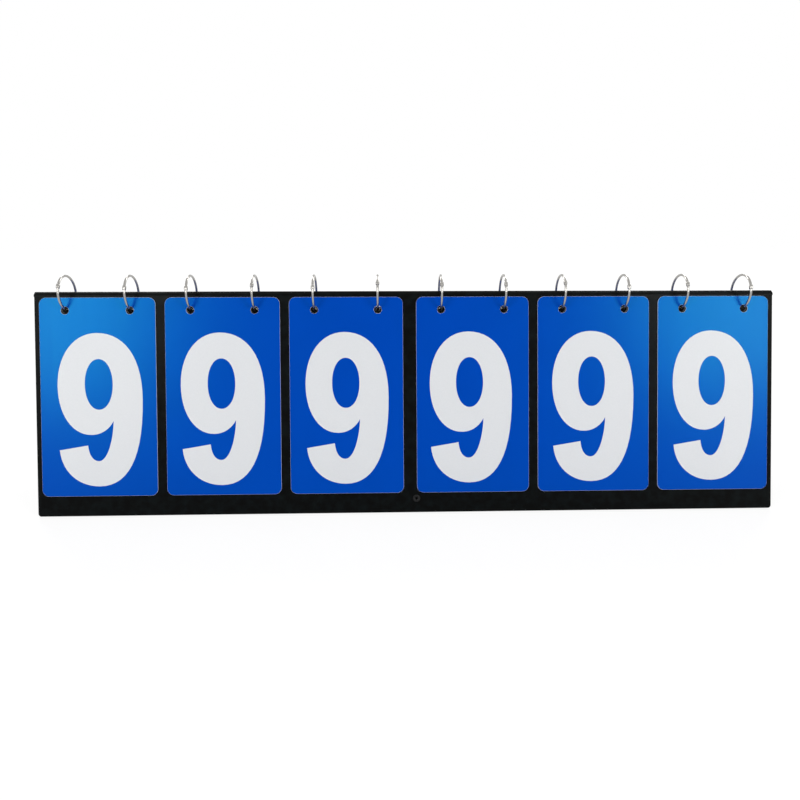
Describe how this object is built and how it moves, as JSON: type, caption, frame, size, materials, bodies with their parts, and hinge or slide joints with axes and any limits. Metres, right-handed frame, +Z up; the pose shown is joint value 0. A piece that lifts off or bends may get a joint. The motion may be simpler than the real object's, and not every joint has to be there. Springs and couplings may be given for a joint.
{
  "type": "flip scoreboard",
  "caption": "Folding table-top scoreboard: two wrapped boards hinged in a tent, with columns of number cards that flip over the ridge on steel rings.",
  "frame": {"origin": "midway between the two lower edges, on the surface the open tent stands on", "axes": "+X to the right along the board's length as seen from the front, -Y towards the reader of the front cards, +Z up"},
  "size_m": [0.614, 0.102, 0.1927],
  "materials": {
    "leatherette": "black leatherette with a fine grain and a soft sheen",
    "greyboard": "raw greyboard, hidden inside the cover",
    "lining": "matt black lining paper",
    "black_metal": "black enamelled press stud and rivet",
    "card_blue": "gloss laminated card, blue with a pale printed numeral",
    "ring_steel": "bright nickel-plated steel wire"
  },
  "bodies": {
    "front_panel": {"front_cover": "leatherette", "front_board": "greyboard", "front_lining": "lining", "ridge_strip": "leatherette", "spreader_strap": "leatherette", "snap_eyelet": "black_metal", "snap_stud": "black_metal", "snap_socket": "black_metal", "snap_cap": "black_metal"},
    "back_panel": {"back_cover": "leatherette", "back_board": "greyboard", "back_lining": "lining", "rivet_post": "black_metal", "rivet_burr": "black_metal", "column_1_card_stack": "card_blue", "column_2_card_stack": "card_blue", "column_3_card_stack": "card_blue", "column_4_card_stack": "card_blue", "column_5_card_stack": "card_blue", "column_6_card_stack": "card_blue"},
    "column_1_left_ring": {"column_1_left_ring": "ring_steel"},
    "column_1_front_card": {"column_1_front_card": "card_blue"},
    "column_1_right_ring": {"column_1_right_ring": "ring_steel"},
    "column_1_back_card": {"column_1_back_card": "card_blue"},
    "column_2_left_ring": {"column_2_left_ring": "ring_steel"},
    "column_2_front_card": {"column_2_front_card": "card_blue"},
    "column_2_right_ring": {"column_2_right_ring": "ring_steel"},
    "column_2_back_card": {"column_2_back_card": "card_blue"},
    "column_3_left_ring": {"column_3_left_ring": "ring_steel"},
    "column_3_front_card": {"column_3_front_card": "card_blue"},
    "column_3_right_ring": {"column_3_right_ring": "ring_steel"},
    "column_3_back_card": {"column_3_back_card": "card_blue"},
    "column_4_left_ring": {"column_4_left_ring": "ring_steel"},
    "column_4_front_card": {"column_4_front_card": "card_blue"},
    "column_4_right_ring": {"column_4_right_ring": "ring_steel"},
    "column_4_back_card": {"column_4_back_card": "card_blue"},
    "column_5_left_ring": {"column_5_left_ring": "ring_steel"},
    "column_5_front_card": {"column_5_front_card": "card_blue"},
    "column_5_right_ring": {"column_5_right_ring": "ring_steel"},
    "column_5_back_card": {"column_5_back_card": "card_blue"},
    "column_6_left_ring": {"column_6_left_ring": "ring_steel"},
    "column_6_front_card": {"column_6_front_card": "card_blue"},
    "column_6_right_ring": {"column_6_right_ring": "ring_steel"},
    "column_6_back_card": {"column_6_back_card": "card_blue"}
  },
  "joints": [
    {"name": "ridge_fold", "type": "hinge", "parent": "front_panel", "child": "back_panel", "pos_m": [0, 0, 0.17757], "axis": [-1, 0, 0], "range_deg": [0, 28], "deforming": ["ridge_strip", "spreader_strap"]},
    {"name": "column_1_front_flip", "type": "hinge", "parent": "front_panel", "child": "column_1_left_ring", "pos_m": [-0.28175, 0, 0.17757], "axis": [-1, 0, 0], "range_deg": [0, 274.8]},
    {"name": "column_1_front_swing", "type": "hinge", "parent": "column_1_left_ring", "child": "column_1_front_card", "pos_m": [-0.2555, -0.00738, 0.16558], "axis": [-1, 0, 0], "range_deg": [0, 54.2]},
    {"name": "column_1_back_flip", "type": "hinge", "parent": "back_panel", "child": "column_1_right_ring", "pos_m": [-0.22925, 0, 0.17757], "axis": [1, 0, 0], "range_deg": [0, 275.3]},
    {"name": "column_1_back_swing", "type": "hinge", "parent": "column_1_right_ring", "child": "column_1_back_card", "pos_m": [-0.2555, 0.01067, 0.16838], "axis": [1, 0, 0], "range_deg": [0, 53.7]},
    {"name": "column_2_front_flip", "type": "hinge", "parent": "front_panel", "child": "column_2_left_ring", "pos_m": [-0.18025, 0, 0.17757], "axis": [-1, 0, 0], "range_deg": [0, 274.8]},
    {"name": "column_2_front_swing", "type": "hinge", "parent": "column_2_left_ring", "child": "column_2_front_card", "pos_m": [-0.154, -0.00738, 0.16558], "axis": [-1, 0, 0], "range_deg": [0, 54.2]},
    {"name": "column_2_back_flip", "type": "hinge", "parent": "back_panel", "child": "column_2_right_ring", "pos_m": [-0.12775, 0, 0.17757], "axis": [1, 0, 0], "range_deg": [0, 275.3]},
    {"name": "column_2_back_swing", "type": "hinge", "parent": "column_2_right_ring", "child": "column_2_back_card", "pos_m": [-0.154, 0.01067, 0.16838], "axis": [1, 0, 0], "range_deg": [0, 53.7]},
    {"name": "column_3_front_flip", "type": "hinge", "parent": "front_panel", "child": "column_3_left_ring", "pos_m": [-0.07875, 0, 0.17757], "axis": [-1, 0, 0], "range_deg": [0, 274.8]},
    {"name": "column_3_front_swing", "type": "hinge", "parent": "column_3_left_ring", "child": "column_3_front_card", "pos_m": [-0.0525, -0.00738, 0.16558], "axis": [-1, 0, 0], "range_deg": [0, 54.2]},
    {"name": "column_3_back_flip", "type": "hinge", "parent": "back_panel", "child": "column_3_right_ring", "pos_m": [-0.02625, 0, 0.17757], "axis": [1, 0, 0], "range_deg": [0, 275.3]},
    {"name": "column_3_back_swing", "type": "hinge", "parent": "column_3_right_ring", "child": "column_3_back_card", "pos_m": [-0.0525, 0.01067, 0.16838], "axis": [1, 0, 0], "range_deg": [0, 53.7]},
    {"name": "column_4_front_flip", "type": "hinge", "parent": "front_panel", "child": "column_4_left_ring", "pos_m": [0.02625, 0, 0.17757], "axis": [-1, 0, 0], "range_deg": [0, 274.8]},
    {"name": "column_4_front_swing", "type": "hinge", "parent": "column_4_left_ring", "child": "column_4_front_card", "pos_m": [0.0525, -0.00738, 0.16558], "axis": [-1, 0, 0], "range_deg": [0, 54.2]},
    {"name": "column_4_back_flip", "type": "hinge", "parent": "back_panel", "child": "column_4_right_ring", "pos_m": [0.07875, 0, 0.17757], "axis": [1, 0, 0], "range_deg": [0, 275.3]},
    {"name": "column_4_back_swing", "type": "hinge", "parent": "column_4_right_ring", "child": "column_4_back_card", "pos_m": [0.0525, 0.01067, 0.16838], "axis": [1, 0, 0], "range_deg": [0, 53.7]},
    {"name": "column_5_front_flip", "type": "hinge", "parent": "front_panel", "child": "column_5_left_ring", "pos_m": [0.12775, 0, 0.17757], "axis": [-1, 0, 0], "range_deg": [0, 274.8]},
    {"name": "column_5_front_swing", "type": "hinge", "parent": "column_5_left_ring", "child": "column_5_front_card", "pos_m": [0.154, -0.00738, 0.16558], "axis": [-1, 0, 0], "range_deg": [0, 54.2]},
    {"name": "column_5_back_flip", "type": "hinge", "parent": "back_panel", "child": "column_5_right_ring", "pos_m": [0.18025, 0, 0.17757], "axis": [1, 0, 0], "range_deg": [0, 275.3]},
    {"name": "column_5_back_swing", "type": "hinge", "parent": "column_5_right_ring", "child": "column_5_back_card", "pos_m": [0.154, 0.01067, 0.16838], "axis": [1, 0, 0], "range_deg": [0, 53.7]},
    {"name": "column_6_front_flip", "type": "hinge", "parent": "front_panel", "child": "column_6_left_ring", "pos_m": [0.22925, 0, 0.17757], "axis": [-1, 0, 0], "range_deg": [0, 274.8]},
    {"name": "column_6_front_swing", "type": "hinge", "parent": "column_6_left_ring", "child": "column_6_front_card", "pos_m": [0.2555, -0.00738, 0.16558], "axis": [-1, 0, 0], "range_deg": [0, 54.2]},
    {"name": "column_6_back_flip", "type": "hinge", "parent": "back_panel", "child": "column_6_right_ring", "pos_m": [0.28175, 0, 0.17757], "axis": [1, 0, 0], "range_deg": [0, 275.3]},
    {"name": "column_6_back_swing", "type": "hinge", "parent": "column_6_right_ring", "child": "column_6_back_card", "pos_m": [0.2555, 0.01067, 0.16838], "axis": [1, 0, 0], "range_deg": [0, 53.7]}
  ],
  "couplings": [
    {"joint": "column_1_front_swing", "follows": "column_1_front_flip", "ratio": 0.19718},
    {"joint": "column_1_back_swing", "follows": "column_1_back_flip", "ratio": 0.19491},
    {"joint": "column_2_front_swing", "follows": "column_2_front_flip", "ratio": 0.19718},
    {"joint": "column_2_back_swing", "follows": "column_2_back_flip", "ratio": 0.19491},
    {"joint": "column_3_front_swing", "follows": "column_3_front_flip", "ratio": 0.19718},
    {"joint": "column_3_back_swing", "follows": "column_3_back_flip", "ratio": 0.19491},
    {"joint": "column_4_front_swing", "follows": "column_4_front_flip", "ratio": 0.19718},
    {"joint": "column_4_back_swing", "follows": "column_4_back_flip", "ratio": 0.19491},
    {"joint": "column_5_front_swing", "follows": "column_5_front_flip", "ratio": 0.19718},
    {"joint": "column_5_back_swing", "follows": "column_5_back_flip", "ratio": 0.19491},
    {"joint": "column_6_front_swing", "follows": "column_6_front_flip", "ratio": 0.19718},
    {"joint": "column_6_back_swing", "follows": "column_6_back_flip", "ratio": 0.19491}
  ]
}
